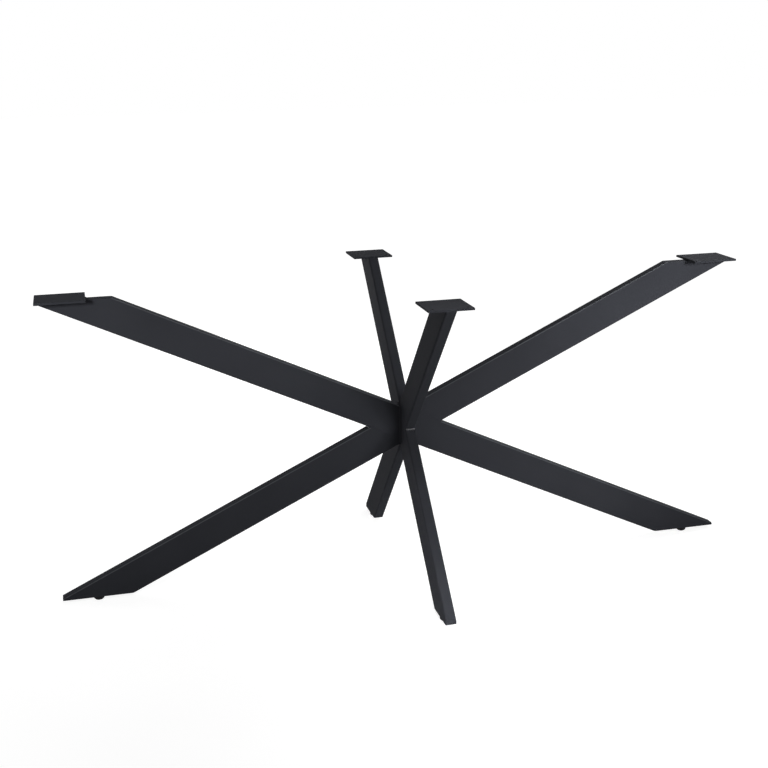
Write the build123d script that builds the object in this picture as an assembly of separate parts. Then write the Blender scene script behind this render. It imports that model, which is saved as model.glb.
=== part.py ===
from build123d import *
import math
import os

# Overall form: two crossed X frames of tube, the long one along X and the short one along Y
BASE_HEIGHT = 720.0  # floor to the table top's underside
LONG_REACH = 752.0  # centre to where a long tube's axis meets its end cuts
SHORT_REACH = 337.0  # the same for a short tube

# Rectangular steel tube, standing on edge in each X
TUBE_DEPTH = 75.0
TUBE_WIDTH = 25.0
TUBE_WALL = 2.0
TUBE_CORNER = 4.0  # outside corner radius
TUBE_INNER_CORNER = 2.0
# Taken off the pointed ends, square to the floor
LOWER_TRIM = 12.0
LONG_UPPER_TRIM = 12.0
SHORT_UPPER_TRIM = 2.0

# Screw plates on the upper ends
PLATE_WIDTH = 100.0  # across the tube
LONG_PLATE_LENGTH = 110.0  # along the tube, on the long X
SHORT_PLATE_LENGTH = 100.0
PLATE_THICK = 5.0
PLATE_EDGE = 0.6  # broken edges and corners
LONG_PLATE_OFFSET = 25.0  # plate centre beyond the tube axis at the cut
SHORT_PLATE_OFFSET = 1.0
SCREW_MARGIN = 12.0  # plate edge to screw hole centre
SCREW_HOLE_DIAMETER = 5.5

# Flat bar strips that close the slanted ends
STRIP_THICK = 3.0
STRIP_CLEARANCE = 0.1

# Levelling feet: welded nut, threaded stud and moulded pad
PAD_HEIGHT = 9.0  # floor to the tube's lower cut
PAD_SEAT_GAP = 0.2
PAD_DIAMETER = 24.0
PAD_BEVEL = 3.2  # at the floor
STUD_DIAMETER = 8.0
STUD_FLOOR = 3.0  # plastic left below the stud
STUD_SPARE = 2.0  # stud still above the nut with the foot wound right out
SOCKET_CLEARANCE = 0.05
FOOT_TRAVEL = 12.0
NUT_ACROSS_FLATS = 13.0
NUT_HEIGHT = 6.5
NUT_BORE_CLEARANCE = 0.05
STRIP_HOLE_CLEARANCE = 0.5

# Levels that follow from these
LOWER_CUT = PAD_HEIGHT
UPPER_CUT = BASE_HEIGHT - PLATE_THICK
HALF_HEIGHT = (UPPER_CUT - LOWER_CUT) / 2
CENTRE_HEIGHT = LOWER_CUT + HALF_HEIGHT


def slope(reach):
    """Angle in radians of a tube with this reach, above the floor."""
    return math.atan2(HALF_HEIGHT, reach)


def tip(reach, trim):
    """Distance from the centre to the blunted end of an arm."""
    return reach + TUBE_DEPTH / (2 * math.sin(slope(reach))) - trim


def foot_place(reach):
    """Distance from the centre to a foot, at the middle of the lower cut."""
    return reach - LOWER_TRIM / 2


def bar(reach, rise, outline):
    """The outline carried through the crossing, rising (1) or falling (-1) towards +X."""
    half_length = math.hypot(reach, HALF_HEIGHT) + TUBE_DEPTH / math.tan(slope(reach))
    straight = extrude(Plane.YZ * outline, amount=half_length, both=True)
    return Pos(0, 0, CENTRE_HEIGHT) * Rot(0, -rise * math.degrees(slope(reach)), 0) * straight


def full_outline():
    """The tube's outline with square corners, used for cutting what butts against it."""
    return Rectangle(TUBE_WIDTH, TUBE_DEPTH)


def outer_outline():
    """Outside of the tube."""
    return RectangleRounded(TUBE_WIDTH, TUBE_DEPTH, TUBE_CORNER)


def inner_outline():
    """Inside of the tube."""
    return RectangleRounded(TUBE_WIDTH - 2 * TUBE_WALL, TUBE_DEPTH - 2 * TUBE_WALL, TUBE_INNER_CORNER)


def strip_outline():
    """Inside of the tube drawn in by a clearance, with its corners cropped clear of the tube's."""
    inset = 2 * (TUBE_WALL + STRIP_CLEARANCE)
    blank = Rectangle(TUBE_WIDTH - inset, TUBE_DEPTH - inset)
    return chamfer(blank.vertices(), TUBE_INNER_CORNER)


def region(x_from, x_to, z_from, z_to):
    """Box between these limits, wider than a tube."""
    width = 2 * TUBE_WIDTH
    block = Box(abs(x_to - x_from), width, abs(z_to - z_from))
    return Pos((x_from + x_to) / 2, 0, (z_from + z_to) / 2) * block


def tube(reach, rise, upper_trim):
    """One tube from end to end, with level end cuts and upright blunted tips."""
    hollow = bar(reach, rise, outer_outline()) - bar(reach, rise, inner_outline())
    lower_end = -rise * tip(reach, LOWER_TRIM)
    upper_end = rise * tip(reach, upper_trim)
    return hollow & region(lower_end, upper_end, LOWER_CUT, UPPER_CUT)


def cut_level(level):
    """Height of the upper (1) or lower (-1) end cut."""
    return CENTRE_HEIGHT + level * HALF_HEIGHT


def half_tube(reach, side, level, upper_trim):
    """The part of a tube in one quarter of its X: side -1 or 1, level 1 up or -1 down."""
    quarter = region(0, side * tip(reach, 0), CENTRE_HEIGHT, cut_level(level))
    return tube(reach, side * level, upper_trim) & quarter


def long_arm(side, level, through_rise):
    """Half tube of the long X, cut square to the through tube that it butts against."""
    whole = tube(LONG_REACH, side * level, LONG_UPPER_TRIM)
    whole = whole - bar(LONG_REACH, through_rise, full_outline())
    return whole & region(0, side * tip(LONG_REACH, 0), LOWER_CUT, UPPER_CUT)


def short_arm(side, level):
    """Half tube of the short X, coped round the long X and mitred at the crossing."""
    arm = turned(half_tube(SHORT_REACH, side, level, SHORT_UPPER_TRIM))
    for rise in (-1, 1):
        arm = arm - bar(LONG_REACH, rise, full_outline())
    return arm


def turned(shape):
    """The shape turned from the long X's plane to the short one's, +X to +Y."""
    return Rot(0, 0, 90) * shape


def end_strip(reach, side, level, trim):
    """Flat bar in the end of a tube, along the level cut and folded up the blunted tip."""
    inside = bar(reach, side * level, strip_outline())
    end = cut_level(level)
    tip_face = side * tip(reach, trim)
    cut_leg = inside & region(0, tip_face, end - level * STRIP_THICK, end)
    tip_leg = inside & region(tip_face - side * STRIP_THICK, tip_face, CENTRE_HEIGHT, end)
    return cut_leg + tip_leg


def foot_strip(reach, side):
    """Lower end strip with the hole that the stud passes through."""
    hole = Cylinder(STUD_DIAMETER / 2 + STRIP_HOLE_CLEARANCE, 2 * STRIP_THICK)
    place = Pos(side * foot_place(reach), 0, LOWER_CUT + STRIP_THICK / 2)
    return end_strip(reach, side, -1, LOWER_TRIM) - place * hole


def top_plate(reach, offset, length, side):
    """Flat plate on an upper end, with a screw hole near each corner."""
    plate = Box(length, PLATE_WIDTH, PLATE_THICK)
    plate = chamfer(plate.edges(), PLATE_EDGE)
    hole = Cylinder(SCREW_HOLE_DIAMETER / 2, 2 * PLATE_THICK)
    corners = GridLocations(length - 2 * SCREW_MARGIN, PLATE_WIDTH - 2 * SCREW_MARGIN, 2, 2)
    plate = plate - corners * hole
    return Pos(side * (reach + offset), 0, UPPER_CUT + PLATE_THICK / 2) * plate


def foot_nut():
    """Hexagon nut, welded to the strip inside the tube."""
    hexagon = RegularPolygon(NUT_ACROSS_FLATS / 2, 6, major_radius=False)
    ring = hexagon - Circle(STUD_DIAMETER / 2 + NUT_BORE_CLEARANCE)
    return Pos(0, 0, LOWER_CUT + STRIP_THICK) * extrude(ring, amount=NUT_HEIGHT)


def foot_stud():
    """Threaded pin, long enough to stay in the nut with the foot wound right out."""
    top = LOWER_CUT + STRIP_THICK + NUT_HEIGHT + FOOT_TRAVEL + STUD_SPARE
    return Pos(0, 0, STUD_FLOOR) * extrude(Circle(STUD_DIAMETER / 2), amount=top - STUD_FLOOR)


def foot_pad():
    """Moulded round pad, bevelled at the floor, with a socket for the stud."""
    pad = extrude(Circle(PAD_DIAMETER / 2), amount=PAD_HEIGHT - PAD_SEAT_GAP)
    pad = chamfer(pad.faces().sort_by(Axis.Z)[0].edges(), PAD_BEVEL)
    socket = Circle(STUD_DIAMETER / 2 + SOCKET_CLEARANCE)
    return pad - Pos(0, 0, STUD_FLOOR) * extrude(socket, amount=PAD_HEIGHT)


def long_frame():
    """The long X with its plates and strips, by node name."""
    through_rise = -1
    nodes = {"long_through_tube": tube(LONG_REACH, through_rise, LONG_UPPER_TRIM)}
    nodes["long_upper_arm"] = long_arm(1, 1, through_rise)
    nodes["long_lower_arm"] = long_arm(-1, -1, through_rise)
    for name, side in (("left", -1), ("right", 1)):
        nodes["top_plate_" + name] = top_plate(LONG_REACH, LONG_PLATE_OFFSET, LONG_PLATE_LENGTH, side)
        nodes["upper_end_strip_" + name] = end_strip(LONG_REACH, side, 1, LONG_UPPER_TRIM)
        nodes["lower_end_strip_" + name] = foot_strip(LONG_REACH, side)
    return nodes


def short_frame():
    """The short X with its plates and strips, by node name."""
    nodes = {}
    for name, side in (("front", -1), ("back", 1)):
        nodes["short_" + name + "_upper_arm"] = short_arm(side, 1)
        nodes["short_" + name + "_lower_arm"] = short_arm(side, -1)
        plate = top_plate(SHORT_REACH, SHORT_PLATE_OFFSET, SHORT_PLATE_LENGTH, side)
        nodes["top_plate_" + name] = turned(plate)
        nodes["upper_end_strip_" + name] = turned(end_strip(SHORT_REACH, side, 1, SHORT_UPPER_TRIM))
        nodes["lower_end_strip_" + name] = turned(foot_strip(SHORT_REACH, side))
    return nodes


def feet():
    """Nut, stud and pad at the four lower ends, by node name."""
    places = {
        "left": Pos(-foot_place(LONG_REACH), 0, 0),
        "right": Pos(foot_place(LONG_REACH), 0, 0),
        "front": Pos(0, -foot_place(SHORT_REACH), 0),
        "back": Pos(0, foot_place(SHORT_REACH), 0),
    }
    nodes = {}
    for name, place in places.items():
        nodes["foot_nut_" + name] = place * foot_nut()
        nodes["foot_stud_" + name] = place * foot_stud()
        nodes["foot_pad_" + name] = place * foot_pad()
    return nodes


os.makedirs("parts", exist_ok=True)
for node, solid in {**long_frame(), **short_frame(), **feet()}.items():
    export_step(solid, os.path.join("parts", node + ".step"))
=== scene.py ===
import math

import bpy
import numpy as np
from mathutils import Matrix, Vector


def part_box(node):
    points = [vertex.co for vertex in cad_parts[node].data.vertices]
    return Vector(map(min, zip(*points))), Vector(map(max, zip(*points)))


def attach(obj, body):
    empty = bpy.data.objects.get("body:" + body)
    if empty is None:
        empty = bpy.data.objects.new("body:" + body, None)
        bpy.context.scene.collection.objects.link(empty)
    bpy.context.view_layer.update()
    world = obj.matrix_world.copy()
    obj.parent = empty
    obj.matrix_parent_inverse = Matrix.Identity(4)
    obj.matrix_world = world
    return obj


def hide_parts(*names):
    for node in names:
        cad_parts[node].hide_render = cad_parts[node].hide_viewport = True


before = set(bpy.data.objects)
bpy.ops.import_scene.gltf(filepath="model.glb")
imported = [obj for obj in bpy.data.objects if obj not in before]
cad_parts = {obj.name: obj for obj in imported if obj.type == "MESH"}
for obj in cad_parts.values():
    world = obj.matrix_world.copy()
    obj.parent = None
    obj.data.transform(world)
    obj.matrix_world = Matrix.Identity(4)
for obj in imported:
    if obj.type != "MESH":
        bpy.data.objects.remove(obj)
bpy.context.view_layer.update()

# Long X: one through tube and two half tubes butted on it, rectangular cold-formed steel tube.
# The welded frame is powder coated: a charged black powder is baked on in a coat about 0.1 mm thick.
# That gives a matt skin with a fine grain, a slow orange peel and softly broken edges.
TUBE_DEPTH = 0.075
TUBE_WIDTH = 0.025
TUBE_CORNER = 0.004
LONG_REACH = 0.752  # from the middle to where a tube's axis meets its end cuts
LONG_TUBES = ("long_through_tube", "long_upper_arm", "long_lower_arm")
LOWER_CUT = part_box("long_through_tube")[0].z
UPPER_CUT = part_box("long_through_tube")[1].z
CENTRE_HEIGHT = (LOWER_CUT + UPPER_CUT) / 2
HALF_HEIGHT = (UPPER_CUT - LOWER_CUT) / 2
LONG_SLOPE = math.atan2(HALF_HEIGHT, LONG_REACH)
COAT_DARK = "#26272b"
COAT_LIGHT = "#2d2e32"
COAT_CLOUD = 0.16  # patches of slightly thicker coat
COAT_PEEL = 0.009  # orange peel
COAT_PEEL_HEIGHT = 0.0004
COAT_PEEL_STRENGTH = 0.12
COAT_GRAIN = 0.0022  # the real grain is about 0.5 mm, drawn coarser so that it shows
COAT_GRAIN_HEIGHT = 0.0002
COAT_GRAIN_STRENGTH = 0.10
COAT_GRAIN_RANGE = (0.3, 0.7)  # grain values between which the gloss changes
COAT_IOR = 1.5
COAT_SPECULAR = 0.03
COAT_ROUGHNESS = (0.78, 0.90)
BEND_HIGHLIGHT_TONE = "#414346"  # painted highlight along the long tubes' upper bends, paler where a bend faces up
BEND_LEAN = 3.0  # brings the painted highlight line down towards the wide face
BEND_START = 0.12
BEND_FULL = 0.27


def linear(colour):
    """Linear red, green, blue and alpha 1 of an sRGB hex colour."""
    share = np.array([int(colour[i:i + 2], 16) for i in (1, 3, 5)]) / 255
    curved = np.where(share <= 0.04045, share / 12.92, ((share + 0.055) / 1.055) ** 2.4)
    return (*curved.tolist(), 1.0)


def add_node(owner, kind, settings=None, links=None):
    """A new node in the owner's tree: settings go to inputs or properties, links to inputs."""
    node = owner.node_tree.nodes.new(kind)
    for name, value in (settings or {}).items():
        if isinstance(name, int) or name in node.inputs:
            node.inputs[name].default_value = value
        else:
            setattr(node, name, value)
    for name, socket in (links or {}).items():
        owner.node_tree.links.new(socket, node.inputs[name])
    return node


def empty_material(name):
    """A material with no nodes yet."""
    material = bpy.data.materials.new(name)
    material.use_nodes = True
    material.node_tree.nodes.clear()
    return material


def cloudy_tone(coat, place):
    """Colour socket that drifts between the coat's dark and light tones in wide patches."""
    cloud = add_node(
        coat, "ShaderNodeTexNoise", {"Scale": 1 / COAT_CLOUD, "Detail": 3.0}, {"Vector": place}
    )
    tone = add_node(
        coat, "ShaderNodeMix",
        {"data_type": "RGBA", 6: linear(COAT_DARK), 7: linear(COAT_LIGHT)},
        {0: cloud.outputs["Fac"]},
    )
    return tone.outputs[2]


def paint_highlight_on_bends(coat, tone):
    """The tone with a painted highlight on upper bends: paler by a face's sideways share to the power of
    the lean, times its upward share.
    """
    facing = add_node(coat, "ShaderNodeTexCoord").outputs["Normal"]
    shares = add_node(coat, "ShaderNodeSeparateXYZ", None, {"Vector": facing})
    sideways = add_node(coat, "ShaderNodeMath", {"operation": "ABSOLUTE"}, {0: shares.outputs["Y"]})
    lean = add_node(
        coat, "ShaderNodeMath", {"operation": "POWER", 1: BEND_LEAN}, {0: sideways.outputs["Value"]}
    )
    bend = add_node(
        coat, "ShaderNodeMath", {"operation": "MULTIPLY"},
        {0: lean.outputs["Value"], 1: shares.outputs["Z"]},
    )
    part = add_node(
        coat, "ShaderNodeMapRange", {"From Min": BEND_START, "From Max": BEND_FULL},
        {"Value": bend.outputs["Value"]},
    )
    mixed = add_node(
        coat, "ShaderNodeMix", {"data_type": "RGBA", 7: linear(BEND_HIGHLIGHT_TONE)},
        {0: part.outputs["Result"], 6: tone},
    )
    return mixed.outputs[2]


def coat_relief(coat, grain, peel):
    """Normal socket with the orange peel's slow waves and the grain on top of them."""
    waves = add_node(
        coat, "ShaderNodeBump", {"Strength": COAT_PEEL_STRENGTH, "Distance": COAT_PEEL_HEIGHT},
        {"Height": peel},
    )
    relief = add_node(
        coat, "ShaderNodeBump", {"Strength": COAT_GRAIN_STRENGTH, "Distance": COAT_GRAIN_HEIGHT},
        {"Height": grain, "Normal": waves.outputs["Normal"]},
    )
    return relief.outputs["Normal"]


def powder_coat(name, specular, roughness, paint_bend_highlight=False):
    """Black powder coat: a cloudy tone, with grain and orange peel in its gloss and relief, and a painted
    highlight on upper bends if asked.
    """
    coat = empty_material(name)
    place = add_node(coat, "ShaderNodeTexCoord").outputs["Object"]
    tone = cloudy_tone(coat, place)
    if paint_bend_highlight:
        tone = paint_highlight_on_bends(coat, tone)
    peel = add_node(
        coat, "ShaderNodeTexNoise", {"Scale": 1 / COAT_PEEL, "Detail": 1.0}, {"Vector": place}
    ).outputs["Fac"]
    grain = add_node(
        coat, "ShaderNodeTexNoise", {"Scale": 1 / COAT_GRAIN, "Detail": 2.0}, {"Vector": place}
    ).outputs["Fac"]
    fine, coarse = COAT_GRAIN_RANGE
    gloss = add_node(
        coat, "ShaderNodeMapRange",
        {"From Min": fine, "From Max": coarse, "To Min": roughness[0], "To Max": roughness[1]},
        {"Value": grain},
    )
    skin = add_node(
        coat, "ShaderNodeBsdfPrincipled", {"IOR": COAT_IOR, "Specular IOR Level": specular},
        {
            "Base Color": tone,
            "Roughness": gloss.outputs["Result"],
            "Normal": coat_relief(coat, grain, peel),
        },
    )
    add_node(coat, "ShaderNodeOutputMaterial", None, {"Surface": skin.outputs["BSDF"]})
    return coat


def finish_nodes(names, material):
    """Gives the named pieces of the frame this material."""
    for name in names:
        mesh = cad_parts[name].data
        mesh.materials.clear()
        mesh.materials.append(material)


# The long tubes' coat has a painted highlight along their upper bends, paler the more a bend faces up.
long_coat_with_painted_highlight = powder_coat(
    "matt_black_powder_coat_long_tubes_painted_highlight", COAT_SPECULAR, COAT_ROUGHNESS, paint_bend_highlight=True
)
finish_nodes(LONG_TUBES, long_coat_with_painted_highlight)

# Short X: four half tubes of the same section, coped round the long X and mitred to each other.
# They are welded on before coating, so the same skin runs over all of them.
SHORT_REACH = 0.337
SHORT_SLOPE = math.atan2(HALF_HEIGHT, SHORT_REACH)
SHORT_TUBES = [f"short_{side}_{level}_arm" for side in ("front", "back") for level in ("upper", "lower")]
tube_coat = powder_coat("matt_black_powder_coat", COAT_SPECULAR, COAT_ROUGHNESS)
finish_nodes(SHORT_TUBES, tube_coat)

# End strips: flat steel bar let into the slanted ends of the tubes, welded round and ground level.
# They close the tubes before coating; the lower ones carry the foot nuts.
SIDES = ("left", "right", "front", "back")
END_STRIPS = [f"{level}_end_strip_{side}" for level in ("upper", "lower") for side in SIDES]
finish_nodes(END_STRIPS, tube_coat)

# Top plates: cut from flat steel, with screw holes, and welded level on the upper ends.
# They are coated with the frame.
TOP_PLATES = [f"top_plate_{side}" for side in SIDES]
finish_nodes(TOP_PLATES, tube_coat)

# Ground seams: weld metal that fills the hollow between a half tube's end and the through tube's
# rounded corner, ground almost flush with the wide faces before coating.
SEAM_HALF_WIDTH = 0.0026
SEAM_CROWN = 0.00012
SEAM_DEPTH = 0.0034
SEAM_ROWS = 60
SECTION_POINTS = 20


def rod_faces(along, around):
    """Faces of rings joined by quads, with a fan from the last two points to each end ring."""
    row = np.arange(along - 1)[:, None] * around
    here = np.arange(around)
    after = (here + 1) % around
    quads = np.stack(
        [row + here, row + after, row + after + around, row + here + around], axis=-1
    ).reshape(-1, 4)
    first = np.full(around, along * around)
    last = first + 1
    end = (along - 1) * around
    fans = np.concatenate(
        [np.stack([first, after, here], axis=-1), np.stack([last, end + here, end + after], axis=-1)]
    )
    return quads.tolist() + fans.tolist()


def rod(rings, first, last):
    """Points and faces of a closed rod: rings (along, around, xyz) and a point at each end."""
    points = np.concatenate([rings.reshape(-1, 3), [first], [last]])
    return points, rod_faces(*rings.shape[:2])


def signed_volume(points, faces):
    """Volume by the divergence sum over fans of each face, below zero where faces point inwards."""
    fans = [(f[0], f[i], f[i + 1]) for f in faces for i in range(1, len(f) - 1)]
    a, b, c = points[np.array(fans)].transpose(1, 0, 2)
    return float(np.einsum("ij,ij->i", a, np.cross(b, c)).sum() / 6)


def make_piece(name, shells, material, body):
    """A smooth mesh object of closed shells, faces outwards, riding on a body of the frame."""
    points = []
    faces = []
    for shell_points, shell_faces in shells:
        start = sum(len(p) for p in points)
        centred = shell_points - shell_points.mean(axis=0)
        turn = 1 if signed_volume(centred, shell_faces) > 0 else -1
        points.append(shell_points)
        faces += [[start + i for i in face[::turn]] for face in shell_faces]
    mesh = bpy.data.meshes.new(name)
    mesh.from_pydata(np.concatenate(points).tolist(), [], faces)
    mesh.polygons.foreach_set("use_smooth", np.ones(len(faces), dtype=bool))
    mesh.materials.append(material)
    mesh.update()
    piece = bpy.data.objects.new(name, mesh)
    bpy.context.scene.collection.objects.link(piece)
    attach(piece, body)
    return piece


def ground_seam(middle, along, across, outward, half_length):
    """Flat lens along a line: across is width times cosine, outward is crown or depth times sine."""
    turn = np.linspace(0, 2 * np.pi, SECTION_POINTS, endpoint=False)
    rise = np.where(np.sin(turn) > 0, SEAM_CROWN, SEAM_DEPTH) * np.sin(turn)
    section = np.outer(np.cos(turn) * SEAM_HALF_WIDTH, across) + np.outer(rise, outward)
    travel = np.linspace(-half_length, half_length, SEAM_ROWS)
    rings = middle + travel[:, None, None] * along + section[None]
    return rod(rings, middle - half_length * along, middle + half_length * along)


def long_seams():
    """The four seams: front and back of each half tube of the long X."""
    along = np.array([math.cos(LONG_SLOPE), 0, -math.sin(LONG_SLOPE)])
    across = np.array([math.sin(LONG_SLOPE), 0, math.cos(LONG_SLOPE)])
    half_length = TUBE_DEPTH / (2 * math.sin(2 * LONG_SLOPE))
    shift = TUBE_DEPTH / (2 * math.tan(2 * LONG_SLOPE))
    seams = []
    for side in (-1, 1):
        for face in (-1, 1):
            middle = side * (across * (TUBE_DEPTH - TUBE_CORNER) / 2 + along * shift)
            middle = middle + np.array([0, face * TUBE_WIDTH / 2, CENTRE_HEIGHT])
            seams.append(ground_seam(middle, along, across, np.array([0, face, 0]), half_length))
    return seams


make_piece("crossing_ground_seams", long_seams(), tube_coat, "frame")

# Weld beads at the crossing: ridges of steel run by hand where the tubes meet, rippled by the torch.
# The powder flows out thicker over the bare beads across the corners and leaves them glossier than the
# flats. The beads beside the short X are dressed smooth and take the same coat as the tubes.
SIDE_BEAD_RADIUS = 0.0036
CORNER_BEAD_RADIUS = 0.0036
CORNER_BEAD_OFFSET = 0.3  # share of the radius, outwards from the corner's point
ACUTE_BEAD_RADIUS = 0.0018
ACUTE_BEAD_OFFSET = 1.4
RIPPLE = 0.06  # share of the radius
RIPPLE_PITCH = 0.0024
BEAD_STEP = 0.0006
BEAD_LEAST_ROWS = 12
END_TAPER = 0.004
WELD_SPECULAR = 0.5
WELD_ROUGHNESS = (0.34, 0.46)


def bead(start, end, radius):
    """Round rod from start to end: its radius ripples by a cosine and tapers as a quarter ellipse."""
    start = np.array(start, dtype=float)
    end = np.array(end, dtype=float)
    length = np.linalg.norm(end - start)
    along = (end - start) / length
    helper = np.eye(3)[np.argmin(np.abs(along))]
    side = np.cross(along, helper)
    side = side / np.linalg.norm(side)
    up = np.cross(along, side)
    travel = np.linspace(0, length, max(int(length / BEAD_STEP), BEAD_LEAST_ROWS))[1:-1]
    from_end = np.minimum(travel, length - travel)
    taper = np.sqrt(1 - (1 - np.clip(from_end / END_TAPER, 0, 1)) ** 2)
    size = radius * taper * (1 + RIPPLE * np.cos(2 * np.pi * travel / RIPPLE_PITCH))
    turn = np.linspace(0, 2 * np.pi, SECTION_POINTS, endpoint=False)
    section = np.outer(np.cos(turn), side) + np.outer(np.sin(turn), up)
    rings = start + travel[:, None, None] * along + size[:, None, None] * section[None]
    return rod(rings, start, end)


def corner_beads():
    """Beads across the sharp inner corners of both Xs."""
    half = TUBE_WIDTH / 2 - TUBE_CORNER / 2
    long_point = TUBE_DEPTH / (2 * math.sin(LONG_SLOPE)) + ACUTE_BEAD_RADIUS * ACUTE_BEAD_OFFSET
    short_point = TUBE_DEPTH / (2 * math.sin(SHORT_SLOPE)) + CORNER_BEAD_RADIUS * CORNER_BEAD_OFFSET
    z = CENTRE_HEIGHT
    beads = []
    for side in (-1, 1):
        x = side * long_point
        y = side * short_point
        beads.append(bead((x, -half, z), (x, half, z), ACUTE_BEAD_RADIUS))
        beads.append(bead((-half, y, z), (half, y, z), CORNER_BEAD_RADIUS))
    return beads


def side_beads():
    """Beads down the short X's sides on the long X's wide faces, and over its upper and lower edges."""
    half = TUBE_WIDTH / 2
    edge = TUBE_DEPTH / (2 * math.cos(LONG_SLOPE)) + half * math.tan(LONG_SLOPE)
    low = CENTRE_HEIGHT - edge
    high = CENTRE_HEIGHT + edge
    beads = []
    for side in (-half, half):
        for face in (-half, half):
            beads.append(bead((side, face, low), (side, face, high), SIDE_BEAD_RADIUS))
        for level in (low, high):
            beads.append(bead((side, -half, level), (side, half, level), SIDE_BEAD_RADIUS))
    return beads


weld_coat = powder_coat("glossy_black_powder_coat_on_welds", WELD_SPECULAR, WELD_ROUGHNESS)
make_piece("crossing_corner_beads", corner_beads(), weld_coat, "frame")
make_piece("crossing_side_beads", side_beads(), tube_coat, "frame")

# Plate welds: a fillet along each side of the tube under the plate, and one across the plate's inner
# edge. They hold the plate to the slanted cut and are coated over with it.
PLATE_BEAD_RADIUS = 0.0026
PLATE_BEAD_INSET = 0.005


def plate_beads(side):
    """Three beads for one plate, worked out from the plate's and the tube end's own boxes."""
    low, high = (np.array(corner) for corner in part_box(f"top_plate_{side}"))
    run = 0 if side in ("left", "right") else 1
    sense = -1 if side in ("left", "front") else 1
    strip_low, strip_high = (np.array(corner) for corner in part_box(f"upper_end_strip_{side}"))
    tip = strip_high[run] if sense > 0 else strip_low[run]
    inner = low[run] if sense > 0 else high[run]
    outward = np.eye(3)[run] * sense
    sideways = np.eye(3)[1 - run] * TUBE_WIDTH / 2
    level = np.array([0, 0, low[2]])
    start = np.eye(3)[run] * inner + outward * PLATE_BEAD_INSET + level
    end = np.eye(3)[run] * tip - outward * PLATE_BEAD_INSET + level
    edge = np.eye(3)[run] * inner + level
    reach = sideways * (1 - TUBE_CORNER / TUBE_WIDTH)
    return [
        bead(start - sideways, end - sideways, PLATE_BEAD_RADIUS),
        bead(start + sideways, end + sideways, PLATE_BEAD_RADIUS),
        bead(edge - reach, edge + reach, PLATE_BEAD_RADIUS),
    ]


for side in SIDES:
    make_piece(f"plate_weld_beads_{side}", plate_beads(side), tube_coat, "frame")

# Foot nuts and studs: hexagon nuts welded on the lower strips inside the tubes, and M8 studs in them.
# Both are steel with a thin bright zinc plating, which leaves a pale, slightly cloudy metal.
STUD_RADIUS = 0.004
THREAD_PITCH = 0.00125
THREAD_DEPTH = 0.00075
THREAD_AROUND = 40
THREAD_ROWS_PER_TURN = 8
ZINC_PALE = "#c9ccd0"
ZINC_DULL = "#a7abae"
ZINC_CLOUD = 0.004
ZINC_ROUGHNESS = (0.25, 0.42)


def zinc_plate(name):
    """Bright zinc on steel: a pale metal whose tone and gloss drift in small patches."""
    zinc = empty_material(name)
    place = add_node(zinc, "ShaderNodeTexCoord").outputs["Object"]
    cloud = add_node(
        zinc, "ShaderNodeTexNoise", {"Scale": 1 / ZINC_CLOUD, "Detail": 4.0}, {"Vector": place}
    ).outputs["Fac"]
    tone = add_node(
        zinc, "ShaderNodeMix",
        {"data_type": "RGBA", 6: linear(ZINC_PALE), 7: linear(ZINC_DULL)},
        {0: cloud},
    )
    bright, dull = ZINC_ROUGHNESS
    gloss = add_node(zinc, "ShaderNodeMapRange", {"To Min": bright, "To Max": dull}, {"Value": cloud})
    metal = add_node(
        zinc, "ShaderNodeBsdfPrincipled", {"Metallic": 1.0},
        {"Base Color": tone.outputs[2], "Roughness": gloss.outputs["Result"]},
    )
    add_node(zinc, "ShaderNodeOutputMaterial", None, {"Surface": metal.outputs["BSDF"]})
    return zinc


def threaded_stud(node):
    """Screw thread: its radius falls by depth times a triangle wave of height over pitch minus turns."""
    low, high = (np.array(corner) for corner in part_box(node))
    middle = (low + high) / 2
    rows = int((high[2] - low[2]) / THREAD_PITCH) * THREAD_ROWS_PER_TURN
    height = np.linspace(low[2], high[2], rows)
    turn = np.linspace(0, 2 * np.pi, THREAD_AROUND, endpoint=False)
    phase = height[:, None] / THREAD_PITCH - turn[None] / (2 * np.pi)
    valley = np.abs(2 * (phase - np.floor(phase)) - 1)
    radius = STUD_RADIUS - THREAD_DEPTH * valley
    across = middle[0] + radius * np.cos(turn)
    deep = middle[1] + radius * np.sin(turn)
    rings = np.stack([across, deep, np.broadcast_to(height[:, None], radius.shape)], axis=-1)
    return rod(rings, (middle[0], middle[1], low[2]), (middle[0], middle[1], high[2]))


zinc_steel = zinc_plate("zinc_plated_steel")
finish_nodes([f"foot_nut_{side}" for side in SIDES], zinc_steel)
for side in SIDES:
    thread = threaded_stud(f"foot_stud_{side}")
    stud = make_piece(f"threaded_stud_{side}", [thread], zinc_steel, f"foot_{side}")
    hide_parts(f"foot_stud_{side}")

# Foot pads: round levelling feet moulded in black polyamide on the studs' lower ends.
# The mould leaves an even, slightly matt skin with a fine spark-eroded texture.
PLASTIC_DARK = "#121213"
PLASTIC_WORN = "#1b1b1c"
PLASTIC_GRAIN = 0.0008
PLASTIC_GRAIN_HEIGHT = 0.0001
PLASTIC_GRAIN_STRENGTH = 0.3
PLASTIC_IOR = 1.53
PLASTIC_SPECULAR = 0.08  # the eroded texture scatters most of the sheen
PLASTIC_ROUGHNESS = (0.5, 0.65)


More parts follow.
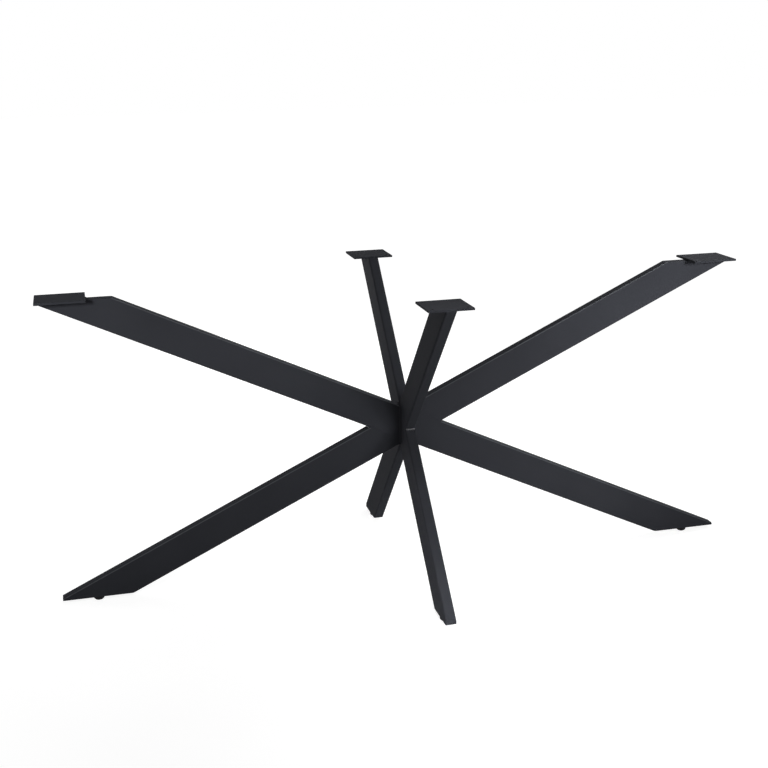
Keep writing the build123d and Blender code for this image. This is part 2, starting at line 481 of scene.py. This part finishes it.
def moulded_polyamide(name):
    """Matt black plastic with a fine even grain."""
    plastic = empty_material(name)
    place = add_node(plastic, "ShaderNodeTexCoord").outputs["Object"]
    grain = add_node(
        plastic, "ShaderNodeTexNoise", {"Scale": 1 / PLASTIC_GRAIN, "Detail": 2.0}, {"Vector": place}
    ).outputs["Fac"]
    tone = add_node(
        plastic, "ShaderNodeMix",
        {"data_type": "RGBA", 6: linear(PLASTIC_DARK), 7: linear(PLASTIC_WORN)},
        {0: grain},
    )
    smooth, rough = PLASTIC_ROUGHNESS
    gloss = add_node(plastic, "ShaderNodeMapRange", {"To Min": smooth, "To Max": rough}, {"Value": grain})
    relief = add_node(
        plastic, "ShaderNodeBump",
        {"Strength": PLASTIC_GRAIN_STRENGTH, "Distance": PLASTIC_GRAIN_HEIGHT},
        {"Height": grain},
    )
    skin = add_node(
        plastic, "ShaderNodeBsdfPrincipled", {"IOR": PLASTIC_IOR, "Specular IOR Level": PLASTIC_SPECULAR},
        {
            "Base Color": tone.outputs[2],
            "Roughness": gloss.outputs["Result"],
            "Normal": relief.outputs["Normal"],
        },
    )
    add_node(plastic, "ShaderNodeOutputMaterial", None, {"Surface": skin.outputs["BSDF"]})
    return plastic


finish_nodes([f"foot_pad_{side}" for side in SIDES], moulded_polyamide("moulded_black_polyamide"))

# Floor and surroundings: a pale level floor under a plain white surround.
# The camera and mirror-like rays see them as white, with the frame's soft shadow left on the floor.
FLOOR_SIDE = 40.0
FLOOR_COLOUR = "#aaaaaa"
FLOOR_GLOW = 0.84
FLOOR_GLOW_FAR = 1.0
FLOOR_NEAR = 1.0
FLOOR_FAR = 3.5
SURROUND_COLOUR = "#ffffff"
SURROUND_LIGHT = 0.15


def seen_directly(owner):
    """One where a ray comes from the camera, a reflection or a transmission, and else nought."""
    path = add_node(owner, "ShaderNodeLightPath")
    seen_or_mirrored = add_node(
        owner, "ShaderNodeMath", {"operation": "MAXIMUM"},
        {0: path.outputs["Is Camera Ray"], 1: path.outputs["Is Glossy Ray"]},
    )
    any_of_three = add_node(
        owner, "ShaderNodeMath", {"operation": "MAXIMUM"},
        {0: seen_or_mirrored.outputs["Value"], 1: path.outputs["Is Transmission Ray"]},
    )
    return any_of_three.outputs["Value"]


def pale_floor(name):
    """Matt pale floor that glows where it is seen directly, up to full white away from the frame."""
    floor = empty_material(name)
    matt = add_node(floor, "ShaderNodeBsdfDiffuse", {"Color": linear(FLOOR_COLOUR)})
    place = add_node(floor, "ShaderNodeTexCoord").outputs["Object"]
    away = add_node(floor, "ShaderNodeVectorMath", {"operation": "LENGTH"}, {0: place})
    sweep = add_node(
        floor, "ShaderNodeMapRange",
        {"From Min": FLOOR_NEAR, "From Max": FLOOR_FAR, "To Min": FLOOR_GLOW, "To Max": FLOOR_GLOW_FAR},
        {"Value": away.outputs["Value"]},
    )
    level = add_node(
        floor, "ShaderNodeMath", {"operation": "MULTIPLY"},
        {0: seen_directly(floor), 1: sweep.outputs["Result"]},
    )
    glow = add_node(floor, "ShaderNodeEmission", None, {"Strength": level.outputs["Value"]})
    both = add_node(
        floor, "ShaderNodeAddShader", None, {0: matt.outputs["BSDF"], 1: glow.outputs["Emission"]}
    )
    add_node(floor, "ShaderNodeOutputMaterial", None, {"Surface": both.outputs["Shader"]})
    return floor


def white_surround(name):
    """World that is white where it is seen directly, and lights the frame only faintly."""
    world = bpy.data.worlds.new(name)
    world.use_nodes = True
    world.node_tree.nodes.clear()
    level = add_node(
        world, "ShaderNodeMapRange", {"To Min": SURROUND_LIGHT, "To Max": 1.0},
        {"Value": seen_directly(world)},
    )
    sky = add_node(
        world, "ShaderNodeBackground", {"Color": linear(SURROUND_COLOUR)},
        {"Strength": level.outputs["Result"]},
    )
    add_node(world, "ShaderNodeOutputWorld", None, {"Surface": sky.outputs["Background"]})
    return world


floor_mesh = bpy.data.meshes.new("floor")
corner = FLOOR_SIDE / 2
floor_mesh.from_pydata(
    [(-corner, -corner, 0), (corner, -corner, 0), (corner, corner, 0), (-corner, corner, 0)],
    [], [(0, 1, 2, 3)],
)
floor_mesh.materials.append(pale_floor("pale_floor"))
floor_piece = bpy.data.objects.new("floor", floor_mesh)
bpy.context.scene.collection.objects.link(floor_piece)
bpy.context.scene.world = white_surround("white_surround")

# Studio lamps: a low soft box in front, right of the middle, leaves the corner left of the short X dark.
# Soft boxes behind and at both sides light the other faces, and narrow beams lift the upper arms, the
# lower right one, the ends on the left and the front leg, so the lower left arm stays darkest.
LAMPS = {
    "front": ((0.8, -2.35, 0.5), (0.0, 0.0, 0.4), 0.7, 120, 7.9),
    "left": ((-3.6, 0.75, 0.35), (0.0, 0.0, 0.36), 0.8, 120, 11.5),
    "right": ((1.6, 1.0, 2.0), (0.4, 0.0, 0.6), 1.0, 150, 20.7),
    "back": ((0.0, 2.6, 0.4), (0.0, 0.0, 0.36), 0.8, 120, 10.0),
    "left_ends": ((-1.5, -1.6, 1.15), (-0.85, 0.0, 0.58), 0.4, 40, 2.5),
    "upper_left": ((0.7, -2.0, 0.7), (-0.3, 0.0, 0.6), 0.2, 18, 0.32),
    "upper_right": ((1.2, -1.8, 1.1), (0.7, 0.0, 0.67), 0.4, 36, 2.8),
    "lower_right": ((1.4, -1.7, 0.5), (0.35, 0.0, 0.28), 0.4, 36, 1.35),
    "front_leg": ((0.0, -1.0, 1.6), (0.0, -0.27, 0.1), 0.3, 30, 0.55),
    "leg_side": ((-2.2, -0.4, 0.25), (0.0, -0.3, 0.12), 0.3, 20, 0.27),
    "leg_end": ((0.0, -1.0, 0.12), (0.0, -0.38, 0.03), 0.2, 20, 0.2),
}


def area_lamp(name, place, aim, side, spread, power):
    """Square lamp at a place, facing its aim: side in metres, spread in degrees, power in watts."""
    lamp = bpy.data.lights.new(name, "AREA")
    lamp.shape = "SQUARE"
    lamp.size = side
    lamp.spread = math.radians(spread)
    lamp.energy = power
    piece = bpy.data.objects.new(name, lamp)
    bpy.context.scene.collection.objects.link(piece)
    piece.location = place
    back = Vector(place) - Vector(aim)
    piece.rotation_mode = "QUATERNION"
    piece.rotation_quaternion = back.to_track_quat("Z", "Y")


for lamp_name, lamp_values in LAMPS.items():
    area_lamp(lamp_name, *lamp_values)

# Camera: the photograph's viewpoint, found from the tubes' edges in it.
# It stands a little left of square on, looks slightly down and is rolled by about a degree.
IMAGE_SIDE = 768
SENSOR = 36.0
FOCAL_PIXELS = 1246.0
AZIMUTH = math.radians(-13.93)
ELEVATION = math.radians(15.56)
ROLL = math.radians(-0.99)
DISTANCE = 3.000
AIM_RIGHT = -0.0494
AIM_UP = 0.0933
CROSSING = np.array([0.0, 0.0, CENTRE_HEIGHT])


def photo_camera():
    """Camera matrix from the right, up and back directions, rolled about the line of sight."""
    back = np.array([
        math.sin(AZIMUTH) * math.cos(ELEVATION),
        -math.cos(AZIMUTH) * math.cos(ELEVATION),
        math.sin(ELEVATION),
    ])
    level_right = np.array([math.cos(AZIMUTH), math.sin(AZIMUTH), 0])
    level_up = np.cross(back, level_right)
    right = level_right * math.cos(ROLL) + level_up * math.sin(ROLL)
    up = level_up * math.cos(ROLL) - level_right * math.sin(ROLL)
    place = CROSSING + right * AIM_RIGHT + up * AIM_UP + back * DISTANCE
    matrix = np.eye(4)
    matrix[:3, :] = np.stack([right, up, back, place], axis=-1)
    return Matrix(matrix.tolist())


view = bpy.data.cameras.new("photo_view")
view.sensor_width = SENSOR
view.lens = FOCAL_PIXELS * SENSOR / IMAGE_SIDE
camera = bpy.data.objects.new("photo_view", view)
bpy.context.scene.collection.objects.link(camera)
camera.matrix_world = photo_camera()
bpy.context.scene.camera = camera
bpy.context.scene.view_settings.view_transform = "Standard"
